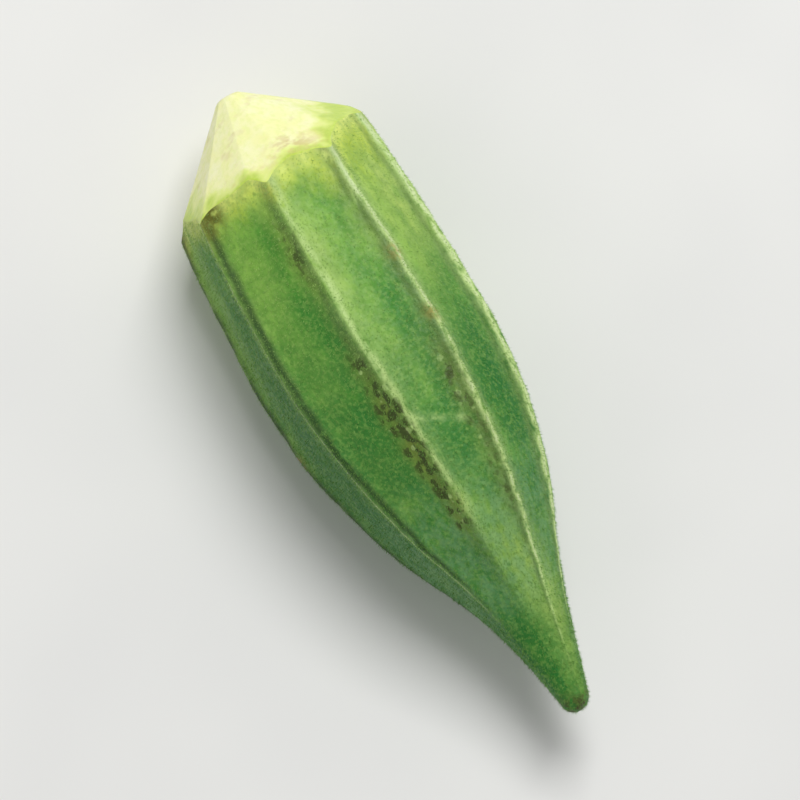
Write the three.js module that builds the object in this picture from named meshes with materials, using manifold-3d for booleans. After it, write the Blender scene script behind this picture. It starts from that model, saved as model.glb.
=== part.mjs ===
// A fresh okra pod, trimmed with a knife at the stem end and lying on its side.
// Millimetres, +Z up. +X runs along the pod, from the cut cap to the blunt beak.
// The origin is on the surface that the pod lies on, under the middle of its box.

import * as THREE from "three";
import { mergeVertices } from "three/addons/utils/BufferGeometryUtils.js";
import Module from "manifold-3d";

// Body
const podLength = 70;
const widestRadius = 12.2; // from the axis to a ridge's crest, where the pod is fattest
const tipRadius = 1.5; // round end of the beak

// How the ridges' radius changes along the pod, as shares of the length and of the widest radius.
// It is fullest before the middle, then draws in through a hollow curve to the beak.
const profile = [
  [0, 0.72],
  [0.06, 0.82],
  [0.12, 0.9],
  [0.2, 0.95],
  [0.3, 0.98],
  [0.4, 1],
  [0.49, 0.98],
  [0.58, 0.9],
  [0.65, 0.8],
  [0.72, 0.65],
  [0.78, 0.485],
  [0.84, 0.345],
  [0.9, 0.235],
  [0.95, 0.165],
  [1 - tipRadius / podLength, tipRadius / widestRadius],
];

// Ridges: where each stands round the axis, in degrees from straight up towards +Y.
// The pod lies on the face between the last one and the first.
const ridgeAngles = [-157, -105, -54, -10, 28, 70, 113.5, 157];
const ridgeRise = 0.55; // how far a ridge stands out of the corner between two faces
const ridgeHalfWidth = 0.9;
const faceBulge = 0.35; // the faces between the ridges are a little fuller than flat
const beakStart = 0.74; // share of the length where the ridges begin to fade into the beak
const beakEnd = 0.94;
const roundFace = 1 - Math.cos(Math.PI / ridgeAngles.length); // bulge that makes a face round

// Bend of the axis: a slight sway from side to side that grows towards the beak, and an arch
// that lets the beak droop
const sideSway = 0.7;
const archTop = 0.42; // share of the length
const beakDroop = 1.6;

// Knife strokes that whittle the stem end to a cone: the direction that each faces round the
// axis, and the angle that it makes with the axis. They leave a small blunt end.
const knifeStrokes = [
  { around: -138, lean: 45.5 },
  { around: -96, lean: 44.5 },
  { around: -64, lean: 42 },
  { around: -34, lean: 41.5 },
  { around: -6, lean: 42 },
  { around: 18, lean: 42 },
  { around: 42, lean: 45.5 },
  { around: 66, lean: 50.5 },
  { around: 90, lean: 55.5 },
  { around: 120, lean: 54 },
  { around: 152, lean: 50 },
  { around: 186, lean: 47 },
];
const bluntRadius = 1.3;
const blockSize = 80; // of the blocks that cut the pod

// The underside is flat where the pod lies: this far below the axis, at the arch's top
const restDepth = 10.96;

// Fineness of the surface
const bodyRings = 42;
const tipRings = 4;
const columnShares = [0, 0.06, 0.14, 0.28, 0.5, 0.72, 0.86, 0.94]; // from one ridge to the next
const columns = ridgeAngles.length * columnShares.length;

const skinMaterial = new THREE.MeshStandardMaterial({
  color: new THREE.Color(0.35, 0.56, 0.24),
  roughness: 0.6,
  metalness: 0,
});

const degrees = Math.PI / 180;
const wasm = await Module();
wasm.setup();

function toSolid(geometry) {
  geometry.deleteAttribute("normal");
  geometry.deleteAttribute("uv");
  const merged = mergeVertices(geometry);
  return new wasm.Manifold(
    new wasm.Mesh({
      numProp: 3,
      vertProperties: new Float32Array(merged.attributes.position.array),
      triVerts: new Uint32Array(merged.index.array),
    }),
  );
}

function toGeometry(solid) {
  const mesh = solid.getMesh();
  const geometry = new THREE.BufferGeometry();
  geometry.setAttribute("position", new THREE.BufferAttribute(mesh.vertProperties, 3));
  geometry.setIndex(new THREE.BufferAttribute(mesh.triVerts, 1));
  geometry.computeVertexNormals();
  return geometry;
}

// Half the pod's outline, as distance from the axis and place along it
function podOutline() {
  const points = profile.map(
    ([along, radius]) => new THREE.Vector2(radius * widestRadius, along * podLength),
  );
  const outline = [new THREE.Vector2(0, 0)];
  outline.push(...new THREE.SplineCurve(points).getSpacedPoints(bodyRings));
  for (let k = 1; k < tipRings; k++) {
    const turn = ((k / tipRings) * Math.PI) / 2;
    const along = podLength - tipRadius + tipRadius * Math.sin(turn);
    outline.push(new THREE.Vector2(tipRadius * Math.cos(turn), along));
  }
  outline.push(new THREE.Vector2(0, podLength));
  return outline;
}

// Where a column of points stands: its own angle, and the ridges on either side of it
function columnPlace(column) {
  const ridge = Math.floor(column / columnShares.length) % ridgeAngles.length;
  const before = ridgeAngles[ridge];
  const isLast = ridge === ridgeAngles.length - 1;
  const after = isLast ? ridgeAngles[0] + 360 : ridgeAngles[ridge + 1];
  const angle = THREE.MathUtils.lerp(before, after, columnShares[column % columnShares.length]);
  return { before, after, angle };
}

// Distance from the axis to the skin, on a section whose ridges reach crestRadius
function skinRadius({ before, after, angle }, crestRadius, beakShare) {
  const halfSpan = (after - before) / 2;
  const offMiddle = angle - (before + after) / 2;
  const rise = ridgeRise * (1 - beakShare) * Math.min(1, crestRadius / widestRadius + 0.1);
  const corner = crestRadius - rise;
  const face = (corner * Math.cos(halfSpan * degrees)) / Math.cos(offMiddle * degrees);
  const full = (faceBulge * crestRadius) / widestRadius;
  const bulge = THREE.MathUtils.lerp(full, crestRadius * roundFace, beakShare);
  const fromCrest = (halfSpan - Math.abs(offMiddle)) * degrees * crestRadius;
  const ridge = rise * Math.exp(-((fromCrest / ridgeHalfWidth) ** 2));
  return face + bulge * (1 - (offMiddle / halfSpan) ** 2) + ridge;
}

function axisOffset(along) {
  const share = along / podLength;
  const fromTop = (share - archTop) / (1 - archTop);
  const sway = -sideSway * share * Math.sin(2 * Math.PI * share);
  return { y: sway, z: -beakDroop * fromTop ** 2 };
}

// The untrimmed pod: a turned outline whose round section is drawn out into ridges and faces
function untrimmedPod() {
  const geometry = new THREE.LatheGeometry(podOutline(), columns);
  const positions = geometry.attributes.position;
  for (let k = 0; k < positions.count; k++) {
    const along = positions.getY(k);
    const turned = Math.atan2(positions.getX(k), positions.getZ(k));
    const crestRadius = Math.hypot(positions.getX(k), positions.getZ(k));
    const column = (2 * columns - Math.round((turned / (2 * Math.PI)) * columns)) % columns;
    const place = columnPlace(column);
    const beakShare = THREE.MathUtils.smoothstep(along / podLength, beakStart, beakEnd);
    const radius = crestRadius > 1e-6 ? skinRadius(place, crestRadius, beakShare) : 0;
    const offset = axisOffset(along);
    const y = offset.y + radius * Math.sin(place.angle * degrees);
    const z = offset.z + radius * Math.cos(place.angle * degrees);
    positions.setXYZ(k, along, y, z);
  }
  return toSolid(geometry);
}

// A block whose near face is the cut: what is on the outer side of that face comes off
function knifeBlock(point, outward) {
  const geometry = new THREE.BoxGeometry(blockSize, blockSize, blockSize);
  const turn = new THREE.Quaternion().setFromUnitVectors(new THREE.Vector3(0, 0, 1), outward);
  const centre = point.clone().addScaledVector(outward, blockSize / 2);
  geometry.applyMatrix4(new THREE.Matrix4().compose(centre, turn, new THREE.Vector3(1, 1, 1)));
  return toSolid(geometry);
}

function strokeBlock({ around, lean }) {
  const side = new THREE.Vector3(0, Math.sin(around * degrees), Math.cos(around * degrees));
  const outward = side.clone().multiplyScalar(Math.cos(lean * degrees));
  outward.x = -Math.sin(lean * degrees);
  const start = axisOffset(0);
  const point = new THREE.Vector3(0, start.y, start.z).addScaledVector(side, bluntRadius);
  return knifeBlock(point, outward);
}

function trimmedPod() {
  let pod = untrimmedPod();
  for (const stroke of knifeStrokes) {
    pod = pod.subtract(strokeBlock(stroke));
  }
  const ground = new THREE.Vector3(podLength / 2, 0, -restDepth);
  return pod.subtract(knifeBlock(ground, new THREE.Vector3(0, 0, -1)));
}

const podGeometry = toGeometry(trimmedPod());
podGeometry.computeBoundingBox();
const middle = podGeometry.boundingBox.getCenter(new THREE.Vector3());
podGeometry.translate(-middle.x, -middle.y, -podGeometry.boundingBox.min.z);

const pod = new THREE.Mesh(podGeometry, skinMaterial);
pod.name = "okra_pod";

const group = new THREE.Group();
group.add(pod);

export default group;
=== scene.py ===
# %% [markdown]
# # A fresh okra pod
# Okra has a velvety green skin, eight ridges that run from the stem to the beak, and here a pale
# moist cone, where the stem end was trimmed with a knife. This lesson models one pod lying on a
# table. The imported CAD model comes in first, as a frame that never moves, and gives the true size
# and place. Then come the camera and the light, the body, its finish and its fuzz.

# %% Load the frame
import math

import bmesh
import bpy
import numpy as np
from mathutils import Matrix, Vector, noise


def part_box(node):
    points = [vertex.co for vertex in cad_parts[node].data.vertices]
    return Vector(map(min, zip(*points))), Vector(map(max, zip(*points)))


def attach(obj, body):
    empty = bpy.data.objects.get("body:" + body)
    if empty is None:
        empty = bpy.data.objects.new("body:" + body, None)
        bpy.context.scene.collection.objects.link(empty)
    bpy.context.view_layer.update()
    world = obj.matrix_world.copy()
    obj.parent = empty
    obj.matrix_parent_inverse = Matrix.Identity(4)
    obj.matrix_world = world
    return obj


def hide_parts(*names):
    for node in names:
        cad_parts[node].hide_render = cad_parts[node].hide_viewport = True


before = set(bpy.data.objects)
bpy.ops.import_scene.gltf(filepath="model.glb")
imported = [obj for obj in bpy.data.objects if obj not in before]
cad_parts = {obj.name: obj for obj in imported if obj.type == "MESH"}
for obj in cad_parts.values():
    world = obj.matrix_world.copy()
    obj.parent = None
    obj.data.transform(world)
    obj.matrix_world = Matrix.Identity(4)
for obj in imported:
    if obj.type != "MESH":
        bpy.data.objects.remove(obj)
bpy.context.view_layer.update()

# %% [markdown]
# ## Measures
# The length comes from the frame. The rest are the same driving dimensions as in the CAD source, in
# metres: how fat the pod is, how its outline runs, where the ridges stand and how the knife went.
# The axis of the pod runs along X, so a place along it is a share of the length, from 0 at the cut
# end to 1 at the beak, and a direction round it is an angle from straight up towards +Y.

# %% Measures of the pod
MM = 0.001
pod_low, pod_high = (Vector(corner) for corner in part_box("okra_pod"))
POD_LENGTH = pod_high.x - pod_low.x
WIDEST_RADIUS = 12.2 * MM
TIP_RADIUS = 1.5 * MM
REST_DEPTH = 10.96 * MM

OUTLINE_PLACES = (0, 0.06, 0.12, 0.2, 0.3, 0.4, 0.49, 0.58, 0.65, 0.72, 0.78, 0.84, 0.9, 0.95,
                  1 - TIP_RADIUS / POD_LENGTH)
OUTLINE_RADII = (0.72, 0.82, 0.9, 0.95, 0.98, 1, 0.98, 0.9, 0.8, 0.65, 0.485, 0.345, 0.235, 0.165,
                 TIP_RADIUS / WIDEST_RADIUS)

RIDGE_ANGLES = np.array((-157, -105, -54, -10, 28, 70, 113.5, 157))
RIDGES = len(RIDGE_ANGLES)
RIDGE_RISE = 0.55 * MM
RIDGE_HALF_WIDTH = 0.9 * MM
RISE_MARGIN = 0.1  # ridges are full height until the pod is slimmer by this share of its widest
FACE_BULGE = 0.35 * MM
BEAK_START = 0.74
BEAK_END = 0.94
ROUND_FACE = 1 - math.cos(math.pi / RIDGES)

SIDE_SWAY = 0.7 * MM
ARCH_TOP = 0.42
BEAK_DROOP = 1.6 * MM

# Each knife stroke: the direction that it faces round the axis, and its angle to the axis
KNIFE_STROKES = ((-138, 45.5), (-96, 44.5), (-64, 42), (-34, 41.5), (-6, 42), (18, 42),
                 (42, 45.5), (66, 50.5), (90, 55.5), (120, 54), (152, 50), (186, 47))
BLUNT_RADIUS = 1.3 * MM
print(f"The pod is {POD_LENGTH / MM:.1f} mm long, {2 * WIDEST_RADIUS / MM:.1f} mm across its ridges")

# %% [markdown]
# ## Camera
# The pod is seen from high above, with its cut end at the upper left. A long lens from 75 cm away
# keeps the near and far end at one scale, as a product photographer does it. The lens is worked out
# from the width of table that the picture should take in.

# %% Camera
CAMERA_AZIMUTH = math.radians(60.55)
CAMERA_ELEVATION = math.radians(78)
CAMERA_DISTANCE = 0.75
PICTURE_WIDTH = 78 * MM
SENSOR_WIDTH = 36

pod_centre = (pod_low + pod_high) / 2
to_camera = Vector((math.sin(CAMERA_AZIMUTH) * math.cos(CAMERA_ELEVATION),
                    -math.cos(CAMERA_AZIMUTH) * math.cos(CAMERA_ELEVATION),
                    math.sin(CAMERA_ELEVATION)))
bpy.ops.object.select_all(action="DESELECT")
bpy.ops.object.camera_add(location=pod_centre + to_camera * CAMERA_DISTANCE)
camera = bpy.context.object
camera.name = "camera"
camera.rotation_euler = to_camera.to_track_quat("Z", "Y").to_euler()
camera.data.sensor_width = SENSOR_WIDTH
camera.data.lens = SENSOR_WIDTH * CAMERA_DISTANCE / PICTURE_WIDTH
bpy.context.scene.camera = camera
picture_right = camera.rotation_euler.to_matrix() @ Vector((1, 0, 0))
picture_up = camera.rotation_euler.to_matrix() @ Vector((0, 1, 0))
print(f"The lens is {camera.data.lens:.0f} mm")

# %% [markdown]
# ## Table and light
# A large soft lamp stands above the picture and a little to its right, a weaker one fills the left
# side, and a pale sky lights the rest. Colours are shown as they are measured, without a film look,
# so that a green in a material is the same green in the picture.

# %% Table
TABLE_SIZE = 3
TABLE_GAP = 0.02 * MM

def give_name(thing, name):
    """Gives an object and its data the same name."""
    thing.name = name
    thing.data.name = name
    return thing

bpy.ops.mesh.primitive_plane_add(size=TABLE_SIZE, location=(0, 0, -TABLE_GAP))
table = give_name(bpy.context.object, "table")
print("The table is", TABLE_SIZE, "m wide")

# %% Lamps
# For each lamp: how far its direction leans from the camera's to the right and upwards, as slopes;
# its distance and its width in metres; and its power in watts
LAMPS = {"key_lamp": (0.18, 0.75, 0.8, 0.4, 4.85), "fill_lamp": (-1.2, -0.2, 0.9, 0.6, 0.4)}

for lamp_name, (right, up, distance, width, power) in LAMPS.items():
    direction = to_camera + right * picture_right + up * picture_up
    bpy.ops.object.light_add(type="AREA", location=pod_centre + direction.normalized() * distance)
    lamp = give_name(bpy.context.object, lamp_name)
    lamp.rotation_euler = direction.to_track_quat("Z", "Y").to_euler()
    lamp.data.size = width
    lamp.data.energy = power
print("Lamps:", ", ".join(LAMPS))

# %% Sky
SKY_COLOUR = (1, 1, 1, 1)
SKY_STRENGTH = 0.35

sky = bpy.data.worlds.new("sky")
sky.use_nodes = True
background = sky.node_tree.nodes["Background"]
background.inputs["Color"].default_value = SKY_COLOUR
background.inputs["Strength"].default_value = SKY_STRENGTH
bpy.context.scene.world = sky
bpy.context.scene.view_settings.view_transform = "Standard"
print("The sky's strength is", SKY_STRENGTH)

# %% [markdown]
# ## Body: the blank
# A pod grows round an axis, so it could be spun from its outline. A blank that is extruded works
# better here, because all its points stand in rings and lines that can be told apart and pulled into
# shape. A small disc, the blunt end that the knife left, is the start. Its edge is extruded along
# the cut, along the skin and in two steps round the end of the beak, and there merged to a point.

# %% Extrude the blank
PER_RIDGE = 36
COLUMNS = PER_RIDGE * RIDGES
CUT_ROWS = 36
SKIN_ROWS = 168
TIP_ROWS = 8
ROWS = CUT_ROWS + SKIN_ROWS + TIP_ROWS
CUT_LENGTH = 9.5 * MM
BODY_END = POD_LENGTH - TIP_RADIUS
LAST_RING = POD_LENGTH - TIP_RADIUS / TIP_ROWS
END_NARROWING = 0.3

def extrude_ring(start, end, wider):
    """Carries the selected ring along the axis, and widens it or draws it in."""
    bpy.ops.mesh.extrude_region_move(TRANSFORM_OT_translate={"value": (end - start, 0, 0)})
    bpy.ops.transform.resize(value=(1, wider, wider), center_override=(end, 0, 0))

bpy.ops.object.select_all(action="DESELECT")
bpy.ops.mesh.primitive_circle_add(vertices=COLUMNS, radius=BLUNT_RADIUS, fill_type="TRIFAN",
                                  rotation=(0, math.pi / 2, 0))
pod = give_name(bpy.context.object, "pod")
bpy.ops.object.transform_apply(location=True, rotation=True, scale=True)
bpy.ops.object.mode_set(mode="EDIT")
bpy.ops.mesh.select_mode(type="VERT")
bpy.ops.mesh.select_all(action="SELECT")
bpy.ops.mesh.region_to_loop()
extrude_ring(0, CUT_LENGTH, WIDEST_RADIUS / BLUNT_RADIUS)
extrude_ring(CUT_LENGTH, BODY_END, TIP_RADIUS / WIDEST_RADIUS)
extrude_ring(BODY_END, LAST_RING, END_NARROWING)
extrude_ring(LAST_RING, POD_LENGTH, END_NARROWING)
bpy.ops.mesh.merge(type="CENTER")
bpy.ops.mesh.select_all(action="SELECT")
bpy.ops.mesh.normals_make_consistent(inside=False)
print("The blank is extruded from", COLUMNS, "points")

# %% [markdown]
# Subdividing only the edges that run lengthwise adds rings between those of the blank, without
# adding lines. The edges are found by their ends: both lie within the stretch that gets the rings.

# %% Add rings
EDGE_SLACK = 0.01 * MM

def add_rings(start, end, rings):
    """Cuts the lengthwise edges between two places along the axis into this many rows."""
    mesh = bmesh.from_edit_mesh(pod.data)
    for edge in mesh.edges:
        ends = sorted(vertex.co.x for vertex in edge.verts)
        edge.select_set(abs(ends[0] - start) < EDGE_SLACK and abs(ends[1] - end) < EDGE_SLACK)
    bmesh.update_edit_mesh(pod.data)
    bpy.ops.mesh.subdivide(number_cuts=rings - 1)

bpy.ops.mesh.select_mode(type="EDGE")
for start, end, rings in ((0, CUT_LENGTH, CUT_ROWS), (CUT_LENGTH, BODY_END, SKIN_ROWS),
                          (BODY_END, LAST_RING, TIP_ROWS - 1)):
    bpy.ops.mesh.select_all(action="DESELECT")
    add_rings(start, end, rings)
bpy.ops.object.mode_set(mode="OBJECT")
print("The blank has", len(pod.data.vertices), "points")

# %% [markdown]
# ## Body: where each point belongs
# Each point of the blank has a row, told by its place along the axis, and a column, told by its
# direction from the axis. The columns are turned to their own directions, closer together at the
# ridges than on the faces between them, so that the narrow ridges get most of the points.

# %% Rows and columns
def read_points(mesh):
    """The places of a mesh's points, one row for each."""
    points = np.empty(3 * len(mesh.vertices))
    mesh.vertices.foreach_get("co", points)
    return points.reshape(-1, 3)

def smoothstep(low, high, values):
    """0 below low, 1 above high, and smooth between."""
    t = np.clip((values - low) / (high - low), 0, 1)
    return t * t * (3 - 2 * t)

RIDGE_CROWDING = 0.6

blank = read_points(pod.data)
row_places = (0, CUT_LENGTH, BODY_END, LAST_RING, POD_LENGTH)
row_numbers = (0, CUT_ROWS, CUT_ROWS + SKIN_ROWS, ROWS - 1, ROWS)
row = np.round(np.interp(blank[:, 0], row_places, row_numbers)).astype(int)
on_axis = np.hypot(blank[:, 1], blank[:, 2]) < EDGE_SLACK
on_cut = row <= CUT_ROWS
turn = np.arctan2(blank[:, 1], blank[:, 2]) / (2 * math.pi) * COLUMNS
column = np.round(turn).astype(int) % COLUMNS

interval = column // PER_RIDGE
even_share = (column % PER_RIDGE) / PER_RIDGE
share = even_share - RIDGE_CROWDING * np.sin(2 * math.pi * even_share) / (2 * math.pi)
before = RIDGE_ANGLES[interval]
after = np.append(RIDGE_ANGLES, RIDGE_ANGLES[0] + 360)[interval + 1]
angle = before + share * (after - before)
print("Rows:", ROWS, "Lines:", COLUMNS, "of which", PER_RIDGE, "from one ridge to the next")

# %% [markdown]
# ## Body: ridges, faces and the cut
# Now each point is put at its own distance from the axis: out on the crest of a ridge, or down on
# the nearly flat face between two. The faces fill out towards the beak, where the ridges fade. The
# axis itself strays a little, because no pod grows straight.

# %% Outline
def smooth_curve(at, places, values):
    """A smooth curve through the given points, read at many places at once."""
    places = np.array(places)
    values = np.array(values)
    slopes = np.gradient(values, places)
    k = np.clip(np.searchsorted(places, at) - 1, 0, len(places) - 2)
    step = places[k + 1] - places[k]
    t = (at - places[k]) / step
    start = values[k] * (1 + 2 * t) * (1 - t) ** 2 + slopes[k] * step * t * (1 - t) ** 2
    end = values[k + 1] * t * t * (3 - 2 * t) + slopes[k + 1] * step * t * t * (t - 1)
    return start + end

def crest_radius(along):
    """Distance from the axis to a ridge's crest, at a place along the pod in metres."""
    body = WIDEST_RADIUS * smooth_curve(along / POD_LENGTH, OUTLINE_PLACES, OUTLINE_RADII)
    past_centre = np.clip(along - BODY_END, 0, TIP_RADIUS)
    round_end = np.sqrt(TIP_RADIUS ** 2 - past_centre ** 2)
    return np.where(past_centre > 0, round_end, body)

middle_crest = float(crest_radius(POD_LENGTH / 2))
print(f"Half way along, a crest is {middle_crest / MM:.1f} mm from the axis")

# %% Section and axis
def skin_radius(along):
    """Distance from the axis to the skin, for each point's own direction."""
    crest = crest_radius(along)
    beak = smoothstep(BEAK_START, BEAK_END, along / POD_LENGTH)
    half_span = np.radians(after - before) / 2
    off_middle = np.radians(angle - (before + after) / 2)
    rise = RIDGE_RISE * (1 - beak) * np.minimum(1, crest / WIDEST_RADIUS + RISE_MARGIN)
    face = (crest - rise) * np.cos(half_span) / np.cos(off_middle)
    full = FACE_BULGE * crest / WIDEST_RADIUS
    bulge = full + beak * (crest * ROUND_FACE - full)
    from_crest = (half_span - np.abs(off_middle)) * crest
    ridge = rise * np.exp(-(from_crest / RIDGE_HALF_WIDTH) ** 2)
    return face + bulge * (1 - (off_middle / half_span) ** 2) + ridge

def axis_offset(along):
    """How far the pod's axis has strayed to the side and down from a straight line."""
    place = along / POD_LENGTH
    sway = -SIDE_SWAY * place * np.sin(2 * math.pi * place)
    droop = -BEAK_DROOP * ((place - ARCH_TOP) / (1 - ARCH_TOP)) ** 2
    return sway, droop

def skin_points(along):
    """Where the skin is, off the straight line, for each point's own direction."""
    sway, droop = axis_offset(along)
    distance = np.where(on_axis, 0, skin_radius(along))
    turned = np.radians(angle)
    return sway + distance * np.sin(turned), droop + distance * np.cos(turned)

print(f"The axis droops by {-axis_offset(POD_LENGTH)[1] / MM:.1f} mm at the tip of the beak")

# %% [markdown]
# The knife took off all that lies beyond each of its strokes, so the cut surface is wherever the
# deepest stroke reached. The rim, where cut and skin meet, is found by walking along each line until
# the stroke and the skin agree. The rings of the cut are then spread between the rim and the blunt
# end, and laid on the strokes.

# %% Cut surface and rim
RIM_TRIES = 8
cut_centre_y, cut_centre_z = axis_offset(0.0)

def knife_reach(y, z):
    """How far along the pod the deepest knife stroke reaches, at this distance off its axis."""
    reach = np.zeros_like(y)
    for around, lean in KNIFE_STROKES:
        side = math.radians(around)
        out = (y - cut_centre_y) * math.sin(side) + (z - cut_centre_z) * math.cos(side)
        reach = np.maximum(reach, (out - BLUNT_RADIUS) / math.tan(math.radians(lean)))
    return reach

rim_along = np.full(len(blank), CUT_LENGTH)
for _ in range(RIM_TRIES):
    rim_y, rim_z = skin_points(rim_along)
    rim_along = np.where(on_axis, rim_along, knife_reach(rim_y, rim_z))
rim_distance = np.hypot(rim_y - cut_centre_y, rim_z - cut_centre_z)
print(f"The rim lies {rim_along.min() / MM:.1f} to {rim_along.max() / MM:.1f} mm from the end")

# %% Shape the body
cut_share = np.minimum(row / CUT_ROWS, 1)
blunt_share = BLUNT_RADIUS / np.maximum(rim_distance, BLUNT_RADIUS)
outward_share = np.where(on_axis, 0, blunt_share + cut_share * (1 - blunt_share))
cut_y = cut_centre_y + outward_share * (rim_y - cut_centre_y)
cut_z = cut_centre_z + outward_share * (rim_z - cut_centre_z)
cut_along = knife_reach(cut_y, cut_z)

skin_share = np.clip((row - CUT_ROWS) / SKIN_ROWS, 0, 1)
tip_turn = np.clip((row - CUT_ROWS - SKIN_ROWS) / TIP_ROWS, 0, 1) * math.pi / 2
skin_along = rim_along + skin_share * (BODY_END - rim_along)
skin_along = np.where(tip_turn > 0, BODY_END + TIP_RADIUS * np.sin(tip_turn), skin_along)
skin_y, skin_z = skin_points(skin_along)

along = np.where(on_cut, cut_along, skin_along)
shaped = np.column_stack((along,
                          np.where(on_cut, cut_y, skin_y),
                          np.where(on_cut, cut_z, skin_z)))
print(f"The body reaches {along.max() / MM:.1f} mm along its axis")

# %% [markdown]
# Distances over the surface are needed twice, for the relief and for the colours: how far a point is
# across the skin from the nearest crest, and how far it is from the rim, on the skin or on the cut.

# %% Distances over the surface
LEAST_FULLNESS = 0.12

crest_here = crest_radius(np.where(on_cut, rim_along, skin_along))
fullness = np.clip(crest_here / WIDEST_RADIUS, LEAST_FULLNESS, 1)
face_width = np.radians(after - before) * crest_here
nearest_is_after = share > 0.5
across = np.where(nearest_is_after, (share - 1) * face_width, share * face_width)
nearest = (interval + nearest_is_after) % RIDGES
slant = np.hypot(rim_distance * (1 - outward_share), rim_along - cut_along)
from_rim = np.where(on_cut, -slant, skin_along - rim_along)
place = along / POD_LENGTH

def bell(values, middle, half_width):
    """1 at the middle, falling smoothly to nothing on either side."""
    return np.exp(-((values - middle) / half_width) ** 2)

print(f"The faces are up to {face_width.max() / MM:.1f} mm wide")

# %% [markdown]
# ## Body: small unevenness
# No pod is a perfect solid. Low swellings a few millimetres across, finer ones on top, and small
# beads along the crests are added by moving each point straight out from the axis. They fade at the
# rim, because the knife cut through them and left a clean edge.

# %% Swellings and beads
SWELLINGS = ((5 * MM, 0.13 * MM), (1.8 * MM, 0.035 * MM), (0.9 * MM, 0.02 * MM))
BEAD_SIZE = 1.1 * MM
BEAD_HEIGHT = 0.06 * MM
BEAD_HALF_WIDTH = 0.7 * MM
RIM_FADE = 1.5 * MM

def unevenness(points, size):
    """Smooth noise between about -1 and 1 at each point, with lumps of the given size."""
    return np.array([noise.noise(Vector(point) / size) for point in points])

fade_at_rim = smoothstep(0, RIM_FADE, from_rim) * np.sqrt(fullness)
lift = np.zeros(len(blank))
for size, height in SWELLINGS:
    lift += height * unevenness(shaped, size)
lift += BEAD_HEIGHT * bell(across, 0, BEAD_HALF_WIDTH) * unevenness(shaped, BEAD_SIZE)
outward = np.column_stack((np.zeros(len(blank)), np.sin(np.radians(angle)),
                           np.cos(np.radians(angle))))
shaped += outward * (lift * fade_at_rim)[:, None]
print(f"The skin swells by up to {np.abs(lift).max() / MM:.2f} mm")

# %% Put the body in its place
shaped[:, 2] = np.maximum(shaped[:, 2] + REST_DEPTH, 0)
shaped[:, 0] += pod_low.x
shaped[:, 1] -= (shaped[:, 1].min() + shaped[:, 1].max()) / 2
pod.data.vertices.foreach_set("co", shaped.ravel())
pod.data.update()
bpy.ops.object.shade_smooth()
print("The body's box:", shaped.min(axis=0) / MM, shaped.max(axis=0) / MM)

# %% [markdown]
# ## Marks painted on the body
# Marks that follow the shape are painted on the points of the mesh as weights, while the rows and
# columns are still known. The materials read the weights by name, and break them up with noise.
# Nearly every mark is a bell curve across the skin times one along the pod, so its edges are soft.

# %% Helpers for painting
def paint(name, values):
    """Keeps one weight for each point of the body, under a name that materials can read."""
    layer = pod.data.attributes.new(name, "FLOAT", "POINT")
    layer.data.foreach_set("value", np.ascontiguousarray(values, dtype=np.float32))
    print(f"Painted {name}, up to {values.max():.2f}")

def of_nearest_ridge(table_of_ridges):
    """For each point, what a table with a row for each ridge says of the nearest one."""
    return np.array(table_of_ridges)[nearest]

def faces_side(middle, half_width):
    """1 on the side of the pod that faces this way, falling to nothing on either side."""
    return bell((angle - middle + 180) % 360, 180, half_width)

skin_only = row >= CUT_ROWS
print(skin_only.sum(), "points belong to the skin")

# %% [markdown]
# The crests are pale, partly rubbed and partly a painted highlight on the flank towards the key
# lamp, and a dark line runs on each crest or beside it, partly a bruise and partly painted shade on
# the flank turned away. No ridge is marked as its neighbours are, so each has places and strengths
# of its own. The lines wander a little to both sides, and fade out towards the beak.

# %% Pale and dark lines
# Dark lines are partly bruises and partly painted shade, pale lines partly rubbed skin and partly
# painted highlight
# For each ridge: where its line lies across the crest, in millimetres, and how strong it is
DARK_LINES = ((0.0, 0.9), (0.1, 1.0), (0.5, 0.9), (-0.8, 0.25), (-0.75, 0.5), (-1.3, 0.35),
              (0.0, 0.9), (0.0, 0.9))
PALE_LINES = ((-0.8, 0.4), (-0.7, 0.5), (-0.6, 1.0), (0.35, 0.9), (0.1, 1.45), (-0.4, 1.6),
              (0.8, 0.5), (0.7, 0.4))
DARK_HALF_WIDTH = 0.5 * MM
PALE_HALF_WIDTH = 0.5 * MM
HALO_HALF_WIDTH = 1.3 * MM
HALO_STRENGTH = 0.3
# For each ridge: at what share of the length its lines are half gone
LINE_ENDS = (0.83, 0.83, 0.8, 0.7, 0.88, 0.86, 0.83, 0.83)
LINE_FADE = 0.09
LINE_WANDER = ((2 * MM, 0.2 * MM), (6 * MM, 0.3 * MM))

wander = sum(height * unevenness(shaped, size) for size, height in LINE_WANDER)
flat_across = across / fullness + wander
past_end = place - of_nearest_ridge(LINE_ENDS)
line_fade = skin_only * (1 - smoothstep(-LINE_FADE, LINE_FADE, past_end))
dark_place, darkness = of_nearest_ridge(DARK_LINES).T
pale_place, paleness = of_nearest_ridge(PALE_LINES).T
dark_line_and_shade = darkness * bell(flat_across, dark_place * MM, DARK_HALF_WIDTH)
pale_line_and_highlight = np.maximum(bell(flat_across, pale_place * MM, PALE_HALF_WIDTH),
                       HALO_STRENGTH * bell(flat_across, pale_place * MM, HALO_HALF_WIDTH))
# Painted shade with the bruises, painted highlight with the rubbed crests
paint("dark_line_and_shade", dark_line_and_shade * line_fade)
paint("pale_line_and_highlight", pale_line_and_highlight * paleness * line_fade)

# %% [markdown]
# A band of brown scars runs beside one ridge, and a few lie beside others. The band is thick in some
# stretches and nearly gone between them.

# %% Scars
# For each ridge: how scarred the skin beside it is
SCARRING = (0.0, 0.1, 0.0, 1.0, 0.5, 0.1, 0.2, 0.0)
SCAR_PLACE = -1.2 * MM
SCAR_HALF_WIDTH = 1.4 * MM
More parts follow.
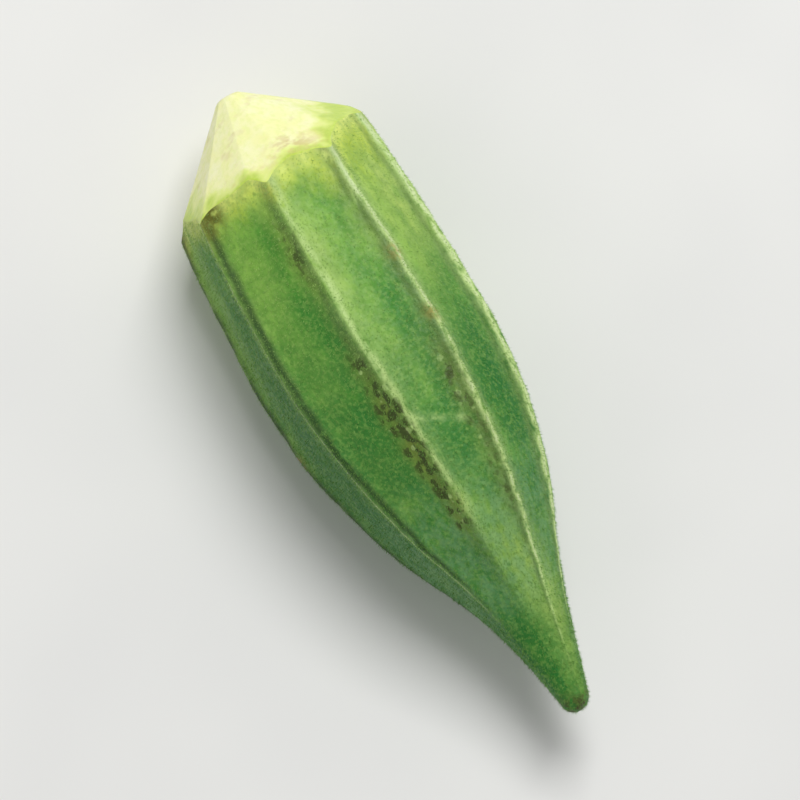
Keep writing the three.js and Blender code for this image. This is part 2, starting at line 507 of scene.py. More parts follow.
# Where along the pod the scars are worst: place and half length as shares, and strength
SCAR_STRETCHES = ((0.27, 0.07, 0.38), (0.57, 0.12, 0.9), (0.71, 0.04, 0.4))
SCARS_ELSEWHERE = 0.05
SCARS_COME = (0.1, 0.2)
SCARS_GO = (0.7, 0.84)

scar_reach = smoothstep(*SCARS_COME, place) * (1 - smoothstep(*SCARS_GO, place))
scars = of_nearest_ridge(SCARRING) * bell(flat_across, SCAR_PLACE, SCAR_HALF_WIDTH)
worst = sum(strength * bell(place, middle, half_length)
            for middle, half_length, strength in SCAR_STRETCHES)
paint("scars", scars * scar_reach * (SCARS_ELSEWHERE + worst) * skin_only)

# %% [markdown]
# Here and there a crest has a rusty spot, and one fine scratch crosses the face beside the scars. A
# scratch is straight on the skin, so a point's distance from it is measured on the unrolled
# surface, with the way round the pod on one axis and the way along it on the other.

# %% Rusty spots and a scratch
# The number of the ridge that each rusty spot is on, and its place along the pod
RUST_SPOTS = ((4, 0.34), (4, 0.44), (1, 0.5), (6, 0.38))
RUST_SIZE = 0.8 * MM
# The side in degrees and the place along the pod of each end of the scratch
SCRATCH_ENDS = ((-8, 0.558), (18, 0.588))
SCRATCH_HALF_WIDTH = 0.22 * MM

paint("rust", sum(bell(np.hypot(flat_across, (place - spot) * POD_LENGTH), 0, RUST_SIZE)
                  * (nearest == ridge) for ridge, spot in RUST_SPOTS))
flat_places = np.column_stack((np.radians(angle) * WIDEST_RADIUS, along))
scratch_start, scratch_end = (np.array((math.radians(side) * WIDEST_RADIUS, end * POD_LENGTH))
                              for side, end in SCRATCH_ENDS)
scratch_run = scratch_end - scratch_start
from_start = flat_places - scratch_start
run_share = np.clip(from_start @ scratch_run / (scratch_run @ scratch_run), 0, 1)
from_scratch = np.linalg.norm(from_start - run_share[:, None] * scratch_run, axis=1)
paint("scratch", bell(from_scratch, 0, SCRATCH_HALF_WIDTH))

# %% [markdown]
# The knife bruised the ridges where they meet the rim, and left a brown smear on the cut. Towards
# the rim the skin is yellower, more so on one side, and ends in a bright edge. On the cut, the lime
# green below the skin reaches further in on some sides.

# %% Marks at the rim
# For each ridge: how bruised it is. A strong bruise is also wider and lies further to the side
BRUISING = (0.5, 0.6, 1.3, 0.3, 0.3, 0.6, 0.5, 0.6)
BRUISE_ASIDE = 0.9 * MM
BRUISE_HALF_WIDTH = 0.4 * MM
BRUISE_WIDER = 0.8 * MM
BRUISE_PLACE = 0.6 * MM
BRUISE_LENGTH = 1.8 * MM
# The smear: its side and half width in degrees, and its place and half length from the rim
SMEAR_SIDE, SMEAR_HALF_WIDTH = 15, 16
SMEAR_PLACE, SMEAR_HALF_LENGTH = -2.2 * MM, 2.2 * MM
# How far the yellow reaches from the rim at least and at most, and on which side it does so
GLOW_REACH = (4.5 * MM, 10 * MM)
GLOW_SIDE = 65
GLOW_FOCUS = 4
RIM_EDGE_WIDTH = 1.3 * MM
# Where the lime of the cut is deeper: the side and its half width in degrees, and the extra depth
LIME_SIDES = ((80, 40, 3.5), (-70, 25, 1.5))

bruising = of_nearest_ridge(BRUISING)
bruise = bell(across, BRUISE_ASIDE * bruising, BRUISE_HALF_WIDTH + BRUISE_WIDER * bruising)
paint("bruise", bruise * bell(from_rim, BRUISE_PLACE, BRUISE_LENGTH) * bruising * skin_only)
smear = faces_side(SMEAR_SIDE, SMEAR_HALF_WIDTH) * bell(from_rim, SMEAR_PLACE, SMEAR_HALF_LENGTH)
paint("smear", smear * ~skin_only)
glow_share = (0.5 + 0.5 * np.cos(np.radians(angle - GLOW_SIDE))) ** GLOW_FOCUS
paint("rim_glow", 1 - from_rim / (GLOW_REACH[0] + glow_share * (GLOW_REACH[1] - GLOW_REACH[0])))
paint("rim_edge", bell(from_rim, 0, RIM_EDGE_WIDTH) * skin_only)
deeper_lime = sum(extra * faces_side(side, half_width) for side, half_width, extra in LIME_SIDES)
paint("lime_depth", -from_rim / MM / (1 + deeper_lime))

# %% [markdown]
# Every face gets a deeper green from one ridge to the next, partly the skin's own colour and partly
# painted shade, with painted light on the side next to the first ridge. Broad patches of the faces
# are paler or deeper still. The place along the pod is kept too, for all that changes towards the
# beak.

# %% Broad patches
SHADED_PART = (0.25, 0.85)
# For each patch: the side that it faces and its half width in degrees, its place along the pod and
# half length as shares of the length, and its strength
PALE_PATCHES = ((52, 24, 0.24, 0.13, 1.0), (-5, 7, 0.29, 0.1, 0.6), (6, 9, 0.47, 0.05, 0.2),
                (5, 20, 0.78, 0.08, 0.6), (35, 24, 0.86, 0.09, 0.8), (130, 22, 0.3, 0.15, 0.6),
                (-128, 22, 0.25, 0.12, 0.6), (-19, 8, 0.165, 0.05, 0.6),
                (-9, 5, 0.685, 0.02, 0.8), (50, 18, 0.13, 0.04, 0.5))
# The patch that faces -80 degrees, on the side of the pod turned from the light, is painted shade
DEEP_PATCHES_AND_SHADE = ((52, 17, 0.53, 0.11, 1.0), (-34, 18, 0.47, 0.14, 0.3), (-50, 30, 0.93, 0.08, 0.9),
                (-80, 22, 0.5, 0.3, 0.9), (10, 14, 0.19, 0.05, 0.4), (88, 20, 0.6, 0.15, 0.5),
                (180, 30, 0.6, 0.2, 0.5), (-105, 25, 0.75, 0.1, 0.4))

def patch_weights(patches):
    """All patches of a table together."""
    return sum(strength * faces_side(side, half_width) * bell(place, middle, half_length)
               for side, half_width, middle, half_length, strength in patches)

# Painted shade, together with the skin's own deeper green, from one ridge to the next
paint("shaded_side", smoothstep(*SHADED_PART, share) * skin_only)
paint("pale_patches", patch_weights(PALE_PATCHES))
# The deep patches include painted shade on the side turned from the light
paint("deep_patches_and_shade", patch_weights(DEEP_PATCHES_AND_SHADE))
paint("along", place)

# %% [markdown]
# ## Flat map of the surface
# A flat map lets the finished colours be saved to an image. The pod unrolls into a rectangle: once
# round is the map's width, and cut end to beak its height. The last face of each ring crosses the
# seam, so its far corners go past the edge instead of back to the start.

# %% Unroll the surface
def unroll(mesh):
    """Gives each corner of each face its place on the flat map."""
    layer = mesh.uv_layers.new(name="OFBake")
    vertex = np.empty(len(mesh.loops), dtype=int)
    mesh.loops.foreach_get("vertex_index", vertex)
    across_map = column[vertex].astype(float)
    for face in mesh.polygons:
        corners = np.arange(face.loop_start, face.loop_start + face.loop_total)
        ringed = corners[~on_axis[vertex[corners]]]
        if np.ptp(across_map[ringed]) > COLUMNS / 2:
            across_map[ringed] += COLUMNS * (across_map[ringed] < COLUMNS / 2)
        across_map[corners[on_axis[vertex[corners]]]] = across_map[ringed].mean()
    up_map = np.where(on_axis & on_cut, 0, row + 1)[vertex]
    flat = np.column_stack((across_map / (COLUMNS + 1), up_map / (ROWS + 1)))
    layer.uv.foreach_set("vector", flat.astype(np.float32).ravel())

unroll(pod.data)
print("The map holds", len(pod.data.polygons), "faces")

# %% [markdown]
# ## Materials
# Each material is a tree of nodes. A few helpers keep the trees readable. The first ones add a node,
# and set or link its sockets by name.

# %% Helpers for nodes
def srgb(red, green, blue):
    """A colour given as a screen shows it, from 0 to 255, as the linear colour that nodes use."""
    parts = (red / 255, green / 255, blue / 255)
    linear = [p / 12.92 if p <= 0.04045 else ((p + 0.055) / 1.055) ** 2.4 for p in parts]
    return (*linear, 1.0)

def set_inputs(tree, node, inputs):
    """Links each named socket to another node's, or sets it to a value."""
    for name, value in inputs.items():
        if isinstance(value, bpy.types.NodeSocket):
            tree.links.new(value, node.inputs[name])
        else:
            node.inputs[name].default_value = value

def add_node(tree, kind, inputs=None, **settings):
    """Adds a node with these settings, and with its sockets linked or set."""
    node = tree.nodes.new(kind)
    for name, value in settings.items():
        setattr(node, name, value)
    set_inputs(tree, node, inputs or {})
    return node

def start_material(thing, name):
    """Gives a thing an empty material: returns its tree, its shader and the thing's coordinates."""
    material = bpy.data.materials.new(name)
    thing.data.materials.append(material)
    material.use_nodes = True
    tree = material.node_tree
    tree.nodes.clear()
    shader = add_node(tree, "ShaderNodeBsdfPrincipled")
    add_node(tree, "ShaderNodeOutputMaterial", {"Surface": shader.outputs["BSDF"]})
    return tree, shader, add_node(tree, "ShaderNodeTexCoord").outputs["Object"]

print(f"A grey of 128 on the screen is {srgb(128, 128, 128)[0]:.2f} of white in linear light")

# %% [markdown]
# The other helpers stand for the few things that every finish needs: a painted weight, a soft
# threshold, a product of masks, one colour laid over another, a pattern drawn out along the pod, and
# the small bumps of a surface. A socket knows the tree that it is in, as its id_data.

# %% Helpers for finishes
def painted(tree, name):
    """The weight that was painted on the mesh under this name."""
    return add_node(tree, "ShaderNodeAttribute", attribute_name=name).outputs["Fac"]

def ramp(value, low, high, bottom=0.0, top=1.0):
    """Bottom where the value is below low, top where it is above high, and smooth between."""
    node = add_node(value.id_data, "ShaderNodeMapRange",
                    {"Value": value, "From Min": low, "From Max": high,
                     "To Min": bottom, "To Max": top}, interpolation_type="SMOOTHSTEP")
    return node.outputs["Result"]

def maths(tree, operation, first, second):
    """What a sum, difference or the like of two values comes to."""
    return add_node(tree, "ShaderNodeMath", {0: first, 1: second}, operation=operation).outputs[0]

def product(first, *others):
    """A mask multiplied by others, or by plain numbers."""
    for other in others:
        first = maths(first.id_data, "MULTIPLY", first, other)
    return first

def lay_over(mask, below, above, strength=1):
    """The colour above, laid over the colour below where the mask lets it."""
    if strength != 1:
        mask = product(mask, strength)
    colours = {"Factor": mask, 6: below, 7: above}
    return add_node(mask.id_data, "ShaderNodeMix", colours, data_type="RGBA").outputs[2]

def drawn_out(coordinates, longer):
    """Coordinates in which a pattern comes out this many times longer along the pod."""
    scale = (1 / longer, 1, 1)
    inputs = {"Vector": coordinates, "Scale": scale}
    return add_node(coordinates.id_data, "ShaderNodeMapping", inputs).outputs["Vector"]

def bumps(vector, size, height, strength, detail):
    """The direction of a surface with bumps of this size and height."""
    relief = add_node(vector.id_data, "ShaderNodeTexNoise",
                      {"Vector": vector, "Scale": 1 / size, "Detail": detail})
    bump = {"Height": relief.outputs["Fac"], "Strength": strength, "Distance": height}
    return add_node(vector.id_data, "ShaderNodeBump", bump).outputs["Normal"]

print("Ready for finishes: weights, thresholds, products, layers, drawn-out patterns and bumps")

# %% [markdown]
# Two effects come back many times in the finishes, so each is built once as a node group. Grain is
# soft noise cut at a threshold, which leaves patches of one size. Freckles are separate round spots:
# a Voronoi pattern gives each spot a cell, and only a share of the cells is filled.

# %% Node group for grain
def new_group(name, inputs):
    """A node group with these inputs and one output, Mask."""
    group = bpy.data.node_groups.new(name, "ShaderNodeTree")
    for label, default in inputs.items():
        kind = "NodeSocketVector" if default is None else "NodeSocketFloat"
        socket = group.interface.new_socket(name=label, in_out="INPUT", socket_type=kind)
        if default is not None:
            socket.default_value = default
    group.interface.new_socket(name="Mask", in_out="OUTPUT", socket_type="NodeSocketFloat")
    return group, add_node(group, "NodeGroupInput").outputs

def make_grain():
    """Soft noise, cut at a threshold."""
    group, given = new_group("grain",
                             {"Vector": None, "Size": MM, "Threshold": 0.5, "Softness": 0.1,
                              "Detail": 2.0})
    spots = add_node(group, "ShaderNodeTexNoise",
                     {"Vector": given["Vector"], "Detail": given["Detail"],
                      "Scale": maths(group, "DIVIDE", 1.0, given["Size"])})
    low = maths(group, "SUBTRACT", given["Threshold"], given["Softness"])
    high = maths(group, "ADD", given["Threshold"], given["Softness"])
    add_node(group, "NodeGroupOutput", {"Mask": ramp(spots.outputs["Fac"], low, high)})
    return group

def place_group(group, vector, inputs):
    """Places a shared group in the tree that the vector is in, with values of its own."""
    node = add_node(vector.id_data, "ShaderNodeGroup", node_tree=group)
    values = {"Vector": vector} | {label.title(): value for label, value in inputs.items()}
    set_inputs(vector.id_data, node, values)
    return node.outputs["Mask"]

GRAIN = make_grain()

def grain(vector, **inputs):
    """The mask of a finish's own grain."""
    return place_group(GRAIN, vector, inputs)

print("The shared grain has", len(GRAIN.nodes), "nodes")

# %% Node group for freckles
# The smallest and the largest freckle, as parts of the radius given, how ragged a freckle is and how
# fine its ragged edge, and how far inside and outside its radius it fades
FRECKLE_SIZES = (0.55, 1.1)
RAGGEDNESS = 0.3
RAGGED_SCALE = 2.5
FRECKLE_FADE = (-0.1, 0.06)

def make_freckles():
    """Round spots of uneven size, one in each filled cell."""
    group, given = new_group("freckles",
                             {"Vector": None, "Spacing": MM, "Radius": 0.35, "Share": 0.5})
    scale = maths(group, "DIVIDE", 1.0, given["Spacing"])
    ragged_scale = product(scale, RAGGED_SCALE)
    ragged = add_node(group, "ShaderNodeTexNoise", {"Vector": given["Vector"], "Scale": ragged_scale})
    cells = add_node(group, "ShaderNodeTexVoronoi", {"Vector": given["Vector"], "Scale": scale})
    chance = add_node(group, "ShaderNodeSeparateColor", {"Color": cells.outputs["Color"]})
    filled = maths(group, "LESS_THAN", chance.outputs["Red"], given["Share"])
    size = ramp(chance.outputs["Green"], 0, 1, *FRECKLE_SIZES)
    radius = product(given["Radius"], size)
    uneven = product(maths(group, "SUBTRACT", ragged.outputs["Fac"], 0.5), RAGGEDNESS)
    distance = maths(group, "ADD", cells.outputs["Distance"], uneven)
    beyond = maths(group, "SUBTRACT", distance, radius)
    freckle = ramp(beyond, *FRECKLE_FADE, 1.0, 0.0)
    add_node(group, "NodeGroupOutput", {"Mask": product(freckle, filled)})
    return group

FRECKLES = make_freckles()

def freckles(vector, **inputs):
    """The mask of a finish's own freckles."""
    return place_group(FRECKLES, vector, inputs)

print("The shared freckles have", len(FRECKLES.nodes), "nodes")

# %% [markdown]
# ## Skin
# The green is not one green. It is yellow-green at the rim, deeper and bluer towards the beak, and
# on each face it deepens from one ridge to the next, partly in its own colour and partly as painted
# shade, with painted light on the other side. Those broad changes come first, each laid over the
# ones before it.

# %% Broad greens
MID_GREEN = srgb(78, 158, 34)
DEEP_GREEN = srgb(26, 108, 24)
BLUE_GREEN = srgb(8, 106, 38)
PALE_GREEN = srgb(142, 190, 76)
RIM_GREEN = srgb(194, 214, 76)
RIM_EDGE = srgb(222, 234, 128)
PATCH_PALE = srgb(170, 199, 96)
PATCH_DEEP = srgb(18, 108, 30)
# Between which shares of the length the painted light on the light sides fades, and the skin turns
# bluer
LIGHT_SIDES_FADE = (0.35, 0.8)
TURNS_BLUER = (0.15, 0.62)
# How strong the painted light on the light side of a face is, and how much of that is left at the
# beak
LIGHT_SIDE = 0.75
LIGHT_LEFT = 0.4
# How strong a patch is where it is thinnest, how much ragged grain adds to that and takes from the
# glow at the rim, and between which weights the glow comes
THINNEST_PATCH = 0.6
RAGGED_PATCH = 0.5
RAGGED_GLOW = 0.3
GLOW_COMES = (0.0, 0.9)

def broad_greens(tree, coordinates):
    """The broad changes of green over the whole pod."""
    along_pod = painted(tree, "along")
    blotches = grain(drawn_out(coordinates, 2.5), size=3.5 * MM, softness=0.2)
    colour = lay_over(blotches, MID_GREEN, PALE_GREEN)
    # Painted light on one side of each face, and painted shade with the skin's own deeper green on
    # the other
    light_side = maths(tree, "SUBTRACT", LIGHT_SIDE, painted(tree, "shaded_side"))
    fading = ramp(along_pod, *LIGHT_SIDES_FADE, 1.0, LIGHT_LEFT)
    colour = lay_over(product(light_side, fading), colour, PALE_GREEN)
    cloudy = grain(drawn_out(coordinates, 2.5), size=2.2 * MM, threshold=0.42, softness=0.2)
    shaded = product(painted(tree, "shaded_side"), cloudy)
    colour = lay_over(shaded, colour, DEEP_GREEN, strength=0.7)
    clouds = grain(coordinates, size=4 * MM, threshold=0.36, softness=0.25)
    bluer = product(ramp(along_pod, *TURNS_BLUER), clouds)
    colour = lay_over(bluer, colour, BLUE_GREEN, strength=0.8)
    ragged = grain(drawn_out(coordinates, 2.0), size=1.5 * MM, softness=0.25)
    edges = maths(tree, "ADD", product(ragged, RAGGED_PATCH), THINNEST_PATCH)
    # Deep patches, one of them painted shade, then pale patches
    for weight, above in (("deep_patches_and_shade", PATCH_DEEP), ("pale_patches", PATCH_PALE)):
        colour = lay_over(product(painted(tree, weight), edges), colour, above)
    glow = maths(tree, "SUBTRACT", painted(tree, "rim_glow"), product(ragged, RAGGED_GLOW))
    colour = lay_over(ramp(glow, *GLOW_COMES), colour, RIM_GREEN)
    rim_edge = product(painted(tree, "rim_edge"), edges)
    return lay_over(rim_edge, colour, RIM_EDGE, strength=0.9)

skin, skin_shader, on_pod = start_material(pod, "okra_skin")
skin_colour = broad_greens(skin, on_pod)
print("The greens take", len(skin.nodes), "nodes")

# %% [markdown]
# Then come the small changes: grain of a millimetre, a frost of fine dots, a hoary bloom on the
# shoulder of the beak, and pale and dark dots. Each is faint, so that none stands out by itself.

# %% Grain and dots
FROST = srgb(152, 190, 92)
HOAR = srgb(120, 166, 116)
# Between which shares of the length the bloom comes, and where it goes
HOAR_COMES = (0.6, 0.72)
HOAR_GOES = (0.8, 0.88)

def grain_and_dots(tree, coordinates, colour):
    """Grain and dots, a millimetre across and less."""
    mottle = grain(drawn_out(coordinates, 1.5), size=1.1 * MM, softness=0.15)
    colour = lay_over(mottle, colour, DEEP_GREEN, strength=0.28)
    frost = grain(coordinates, size=0.4 * MM, threshold=0.55, softness=0.1, detail=3.0)
    colour = lay_over(frost, colour, FROST, strength=0.26)
    along_pod = painted(tree, "along")
    shoulder = maths(tree, "SUBTRACT", ramp(along_pod, *HOAR_COMES), ramp(along_pod, *HOAR_GOES))
    hoary = grain(drawn_out(coordinates, 2.0), size=0.7 * MM, threshold=0.45, softness=0.2)
    colour = lay_over(product(shoulder, hoary), colour, HOAR, strength=0.45)
    pale_dots = freckles(coordinates, spacing=0.55 * MM, radius=0.3, share=0.4)
    colour = lay_over(pale_dots, colour, FROST, strength=0.25)
    dark_dots = freckles(coordinates, spacing=0.8 * MM, radius=0.28, share=0.35)
    return lay_over(dark_dots, colour, DEEP_GREEN, strength=0.28)

skin_colour = grain_and_dots(skin, on_pod, skin_colour)
print("With grain and dots there are", len(skin.nodes), "nodes")

# %% [markdown]
# The painted marks come last and cover all the others. A weight says where a mark may be, and noise
# says where it shows: the pale crests and their painted highlight come out patchy, the dark lines and
# their painted shade broken, and the scars are separate blots and spots, with pale flecks of sound
# skin between them.

# %% Marks on the skin
# The dark lines are partly bruises and partly painted shade
LINE_DARK = srgb(32, 64, 16)
CREST_PALE = srgb(190, 218, 138)
# A whitish painted highlight, for the crests that catch the most light
CREST_HIGHLIGHT = srgb(212, 230, 172)
SCAR_OLIVE = srgb(116, 136, 50)
SCAR_BROWN = srgb(58, 74, 20)
RUST = srgb(172, 142, 76)
BRUISE_OLIVE = srgb(96, 100, 24)
# Between which strengths a pale crest turns into a whitish painted highlight, and a scar breaks up
# into blots and spots
HIGHLIGHT_STRENGTHS = (0.9, 1.6)
SCAR_BREAKS = (0.14, 0.5)

def marks_on_skin(tree, coordinates, colour):
    """Pale crests and painted highlight, dark lines and painted shade, scars, scratch, rust, bruises.
    """
    # Patchy painted highlight and rubbed pale on the crests
    patchy_crest = grain(drawn_out(coordinates, 2.5), size=0.7 * MM, threshold=0.4, softness=0.2,
                 detail=3.0)
    pale = product(painted(tree, "pale_line_and_highlight"), patchy_crest)
    colour = lay_over(pale, colour, CREST_PALE)
    colour = lay_over(ramp(pale, *HIGHLIGHT_STRENGTHS), colour, CREST_HIGHLIGHT)
    broken = grain(drawn_out(coordinates, 3.0), size=0.8 * MM, threshold=0.36, softness=0.14,
                   detail=3.0)
    # Painted shade and bruising along the dark lines
    colour = lay_over(product(painted(tree, "dark_line_and_shade"), broken), colour, LINE_DARK)
    rough = grain(drawn_out(coordinates, 1.8), size=1.6 * MM, threshold=0.34, softness=0.22,
                  detail=3.0)
    scarred = product(painted(tree, "scars"), rough)
    colour = lay_over(scarred, colour, SCAR_OLIVE)
    reach = ramp(scarred, *SCAR_BREAKS)
    flecks = freckles(coordinates, spacing=0.9 * MM, radius=0.36, share=0.5)
    colour = lay_over(product(reach, flecks), colour, CREST_PALE, strength=0.55)
    blots = grain(drawn_out(coordinates, 1.5), size=0.85 * MM, threshold=0.535, softness=0.04)
    spots = freckles(coordinates, spacing=1.2 * MM, radius=0.46, share=0.75)
    for brown in (blots, spots):
        colour = lay_over(product(reach, brown), colour, SCAR_BROWN, strength=0.9)
    colour = lay_over(painted(tree, "scratch"), colour, CREST_PALE, strength=0.45)
    rusty = grain(coordinates, size=0.5 * MM, threshold=0.45, softness=0.15)
    colour = lay_over(product(painted(tree, "rust"), rusty), colour, RUST, strength=0.7)
    bruised = grain(coordinates, size=0.9 * MM, threshold=0.38, softness=0.22)
    return lay_over(product(painted(tree, "bruise"), bruised), colour, BRUISE_OLIVE)

skin_colour = marks_on_skin(skin, on_pod, skin_colour)
print("With the marks there are", len(skin.nodes), "nodes")

# %% [markdown]
# The very end of the beak is withered. The skin is dull, here more and there less, with a faint
# sheen and fine pimples, which are too small for the mesh and so are a bump.

# %% Tip, gloss and pimples
TIP_OLIVE = srgb(72, 76, 30)
WITHERS = (0.965, 0.998)
SKIN_ROUGHNESS = (0.5, 0.68)

wrinkled = grain(on_pod, size=0.8 * MM, threshold=0.45)
withered = product(ramp(painted(skin, "along"), *WITHERS), wrinkled)
dull = grain(on_pod, size=0.5 * MM, softness=0.2)
set_inputs(skin, skin_shader, {
    "Base Color": lay_over(withered, skin_colour, TIP_OLIVE),
    "Normal": bumps(on_pod, size=0.45 * MM, height=0.14 * MM, strength=0.8, detail=4.0),
    "Roughness": ramp(dull, 0, 1, *SKIN_ROUGHNESS), "Specular IOR Level": 0.35,
    "Sheen Weight": 0.06, "Sheen Roughness": 0.5})
print("The finished skin has", len(skin.nodes), "nodes")

# %% [markdown]
# ## Flesh
# Under the skin the flesh is lime green for a millimetre or so, then cream. The knife left it moist
# and smooth, with faint strings that run towards the stem and a few brown smears. A little light
# goes into it and comes out nearby, which subsurface scattering gives. The faces whose points all lie
# on the cut take it.

# %% Flesh material
CREAM = srgb(248, 250, 176)
PALE_CREAM = srgb(252, 253, 200)
PALE_LIME = srgb(228, 240, 140)
RIM_LIME = srgb(190, 216, 84)
SMEAR_BROWN = srgb(206, 184, 122)
# Between which depths, in millimetres, rim lime turns to pale lime, and pale lime to cream
TO_PALE_LIME = (-1.0, 0.4)
TO_CREAM = (0.0, 1.3)
# By how many millimetres noise moves them, how large its lumps are, and between which values it lies
DEPTH_SHIFT = (0.2, 1.6)
SHIFT_SIZE = 2.4 * MM
SHIFT_NOISE = (0.3, 0.75)
FLESH_ROUGHNESS = (0.36, 0.52)

def flesh_colour(tree, coordinates, strings):
    """Lime at the rim and cream inside, with faint strings and brown smears."""
    uneven = add_node(tree, "ShaderNodeTexNoise", {"Vector": coordinates, "Scale": 1 / SHIFT_SIZE})
    shift = ramp(uneven.outputs["Fac"], *SHIFT_NOISE, *DEPTH_SHIFT)
    depth = maths(tree, "SUBTRACT", painted(tree, "lime_depth"), shift)
    clouds = grain(coordinates, size=1.8 * MM, softness=0.25)
    cream = lay_over(clouds, CREAM, PALE_CREAM)
    colour = lay_over(ramp(depth, *TO_PALE_LIME), RIM_LIME, PALE_LIME)
    colour = lay_over(ramp(depth, *TO_CREAM), colour, cream)
    colour = lay_over(strings, colour, PALE_LIME, strength=0.3)
    smears = grain(coordinates, size=2.2 * MM, threshold=0.68, softness=0.1)
    colour = lay_over(smears, colour, SMEAR_BROWN, strength=0.4)
    stained = grain(drawn_out(coordinates, 0.6), size=1.3 * MM, softness=0.12)
    stained = product(painted(tree, "smear"), stained)
    return lay_over(stained, colour, SMEAR_BROWN, strength=0.7)

flesh, flesh_shader, on_cone = start_material(pod, "okra_flesh")
flesh_strings = grain(drawn_out(on_cone, 5.0), size=0.45 * MM, threshold=0.55, softness=0.12,
                      detail=3.0)
set_inputs(flesh, flesh_shader, {
    "Base Color": flesh_colour(flesh, on_cone, flesh_strings),
    "Normal": bumps(drawn_out(on_cone, 4.0), size=0.5 * MM, height=0.1 * MM,
                    strength=0.5, detail=3.0),
    "Roughness": ramp(flesh_strings, 0, 1, *FLESH_ROUGHNESS), "Specular IOR Level": 0.4,
    "Subsurface Weight": 0.25, "Subsurface Scale": 1.0 * MM, "Subsurface Radius": (1.0, 0.9, 0.5)})
print("The flesh has", len(flesh.nodes), "nodes")

# %% Skin and flesh on the body
FLESH_SLOT = 1
cut_faces = np.array([on_cut[list(face.vertices)].all() for face in pod.data.polygons])
pod.data.polygons.foreach_set("material_index", cut_faces.astype(np.int32) * FLESH_SLOT)
print(cut_faces.sum(), "faces belong to the cut")

# %% [markdown]
# ## Fuzz
# The whole skin is covered with short pale hairs that make it feel like velvet. Blender's own hair
# would do, but hair made of mesh goes wherever the model goes. One hair is modelled, a three-sided
# cone, and its copies are set all over the skin, more of them on the crests, each leaning towards
# the beak. The random draw is seeded, and the faces, which a subdivision leaves in no fixed order,
# are sorted by row and column before it, so the fuzz is the same each time.

# %% One hair
HAIR_SIDES = 3
HAIR_THICKNESS = 0.05 * MM

bpy.ops.object.select_all(action="DESELECT")
bpy.ops.mesh.primitive_cone_add(vertices=HAIR_SIDES, radius1=HAIR_THICKNESS / 2, radius2=0, depth=1,
                                location=(0, 0, 0.5))
fuzz = give_name(bpy.context.object, "pod_fuzz")
bpy.ops.object.transform_apply(location=True, rotation=True, scale=True)
hair_points = read_points(fuzz.data)
hair_faces = [list(face.vertices) for face in fuzz.data.polygons]
print("One hair has", len(hair_points), "points and", len(hair_faces), "faces")

# %% Faces that carry hairs
FLOOR_GAP = 0.5 * MM

skin_faces = np.array([face.vertices[:] for face in pod.data.polygons
                       if face.material_index != FLESH_SLOT and len(face.vertices) == 4])
rank = (row * COLUMNS + column)[skin_faces]
from_lowest = (rank.argmin(axis=1)[:, None] + np.arange(4)) % 4
skin_faces = np.take_along_axis(skin_faces, from_lowest, axis=1)
skin_faces = skin_faces[np.lexsort((rank.sum(axis=1), rank.min(axis=1)))]
corners = shaped[skin_faces]
diagonals = corners[:, 2:] - corners[:, :2]
face_normal = np.cross(diagonals[:, 0], diagonals[:, 1])
face_area = np.linalg.norm(face_normal, axis=1, keepdims=True)
face_normal /= face_area
print(len(skin_faces), "faces of skin, sorted by row and column")

# %% Where the hairs stand
HAIRS = 46000
CREST_EXTRA = 1.5
CREST_HALF_WIDTH = 0.8 * MM
SEED = 7

draw = np.random.default_rng(SEED)
on_crest = bell(across, 0, CREST_HALF_WIDTH)[skin_faces].mean(axis=1)
clear_of_floor = corners[:, :, 2].min(axis=1) > FLOOR_GAP
chance = face_area[:, 0] * (1 + CREST_EXTRA * on_crest) * clear_of_floor
chosen = draw.choice(len(skin_faces), size=HAIRS, p=chance / chance.sum())
s, t = draw.random((2, HAIRS, 1))
root = ((1 - s) * (1 - t) * corners[chosen, 0] + s * (1 - t) * corners[chosen, 1]
        + s * t * corners[chosen, 2] + (1 - s) * t * corners[chosen, 3])
print("Hairs per square millimetre:", round(HAIRS / (face_area.sum() / 2) * MM * MM, 1))

# %% Grow the fuzz
HAIR_LENGTHS = (0.18 * MM, 0.42 * MM)
HAIR_LEAN = 0.8
HAIR_SCATTER = 0.4
HAIR_ROOT = 0.04 * MM

def unit(vectors):
    """The same directions, each of length 1."""
    return vectors / np.linalg.norm(vectors, axis=1, keepdims=True)

towards_beak = np.array((1, 0, 0))
lean = face_normal[chosen] + HAIR_LEAN * towards_beak + HAIR_SCATTER * draw.normal(size=(HAIRS, 3))
grow = unit(lean)
side = unit(np.cross(grow, draw.normal(size=(HAIRS, 3))))
other_side = np.cross(grow, side)
length = draw.uniform(*HAIR_LENGTHS, size=(HAIRS, 1))
points = (root - HAIR_ROOT * face_normal[chosen])[:, None, :] + (
    hair_points[None, :, :1] * side[:, None, :]
    + hair_points[None, :, 1:2] * other_side[:, None, :]
    + hair_points[None, :, 2:] * (length * grow)[:, None, :])
firsts = np.arange(HAIRS) * len(hair_points)
faces = [[first + v for v in face] for first in firsts.tolist() for face in hair_faces]
fuzz.data.clear_geometry()
fuzz.data.from_pydata(points.reshape(-1, 3).tolist(), [], faces)
fuzz.data.update()
print("The fuzz has", len(fuzz.data.polygons), "faces")

# %% [markdown]
# The fuzz gets a flat map too. Each hair has a small patch of its own there, at the place that its
# root has when the skin is unrolled.

# %% Map the fuzz
# Where the three points of a hair's foot and its tip lie, as shares of the map
HAIR_PATCH = ((-0.002, 0.0), (0.002, 0.0), (0.0, -0.002), (0.0, 0.004))
MAP_EDGE = 0.01

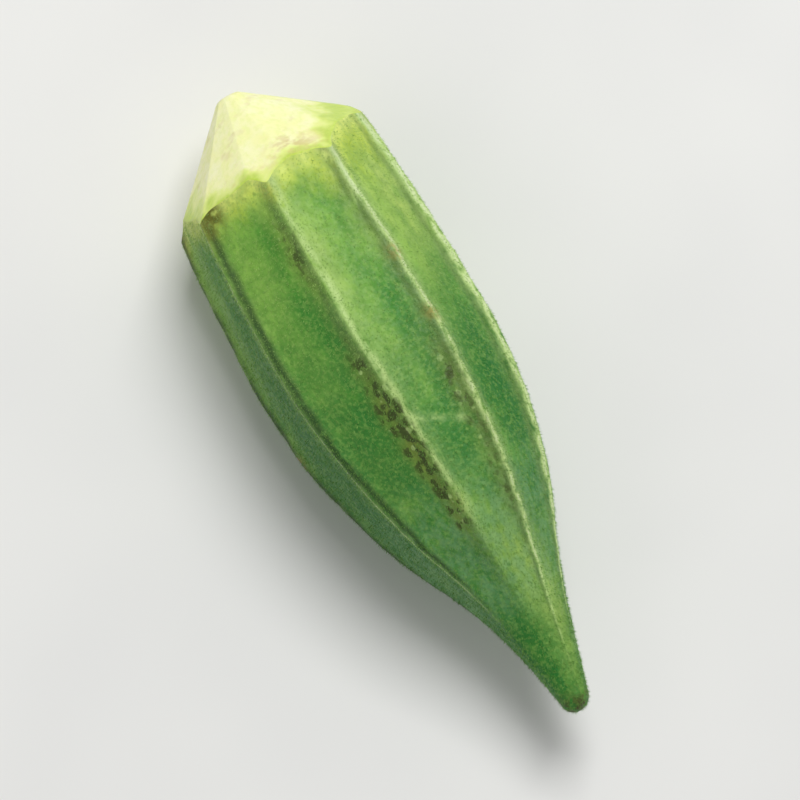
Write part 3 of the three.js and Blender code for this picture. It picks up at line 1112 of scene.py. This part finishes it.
around = np.arctan2(root[:, 1], root[:, 2] - REST_DEPTH) / (2 * math.pi)
unrolled = np.column_stack((around + 0.5, (root[:, 0] - pod_low.x) / POD_LENGTH))
corner_patch = np.empty((len(hair_points), 2))
corner_patch[np.argsort(hair_points[:, 2])] = HAIR_PATCH
face_corners = np.array([corner for face in faces for corner in face])
hair_number, hair_corner = np.divmod(face_corners, len(hair_points))
fuzz_map = MAP_EDGE + (1 - 2 * MAP_EDGE) * unrolled[hair_number] + corner_patch[hair_corner]
fuzz.data.uv_layers.new(name="OFBake").uv.foreach_set("vector", fuzz_map.astype(np.float32).ravel())
print("The fuzz is mapped by", len(fuzz_map), "corners")

# %% [markdown]
# The hairs are pale towards the cut end, where the skin is pale too, and greener towards the beak.
# The table stays plain, with only a trace of unevenness, so that it takes nothing from the pod.

# %% Fuzz and table materials
HAIR_PALE = srgb(166, 200, 112)
HAIR_GREEN = srgb(92, 147, 54)
# Between which places along the table the hairs turn green, how pale they still are beyond the
# second, and how pale the darkest and the lightest tufts are
TURNS_GREEN = (-15 * MM, 10 * MM)
PALE_LEFT = 0.25
TUFT_PALENESS = (0.5, 1.0)
FUZZ_ROUGHNESS = (0.45, 0.6)
TABLE_WHITE = srgb(232, 232, 229)
TABLE_SHADE = srgb(228, 228, 226)
TABLE_ROUGHNESS = (0.65, 0.75)

down, down_shader, on_fuzz = start_material(fuzz, "okra_fuzz")
tufts = grain(on_fuzz, size=0.8 * MM, softness=0.2)
fuzz_along = add_node(down, "ShaderNodeSeparateXYZ", {"Vector": on_fuzz}).outputs["X"]
paler = product(ramp(tufts, 0, 1, *TUFT_PALENESS), ramp(fuzz_along, *TURNS_GREEN, 1.0, PALE_LEFT))
set_inputs(down, down_shader,
           {"Base Color": lay_over(paler, HAIR_GREEN, HAIR_PALE),
            "Roughness": ramp(tufts, 0, 1, *FUZZ_ROUGHNESS), "Specular IOR Level": 0.3})

white, white_shader, on_table = start_material(table, "table_white")
mottle = grain(on_table, size=40 * MM, softness=0.2)
set_inputs(white, white_shader,
           {"Base Color": lay_over(mottle, TABLE_WHITE, TABLE_SHADE),
            "Roughness": ramp(mottle, 0, 1, *TABLE_ROUGHNESS)})
print("Fuzz:", len(down.nodes), "nodes. Table:", len(white.nodes), "nodes")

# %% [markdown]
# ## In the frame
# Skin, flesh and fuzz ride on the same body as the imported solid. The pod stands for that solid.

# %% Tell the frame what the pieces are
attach(pod, "root")
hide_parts("okra_pod")
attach(fuzz, "root")
print("pod stands for okra_pod, and pod_fuzz rides with it")
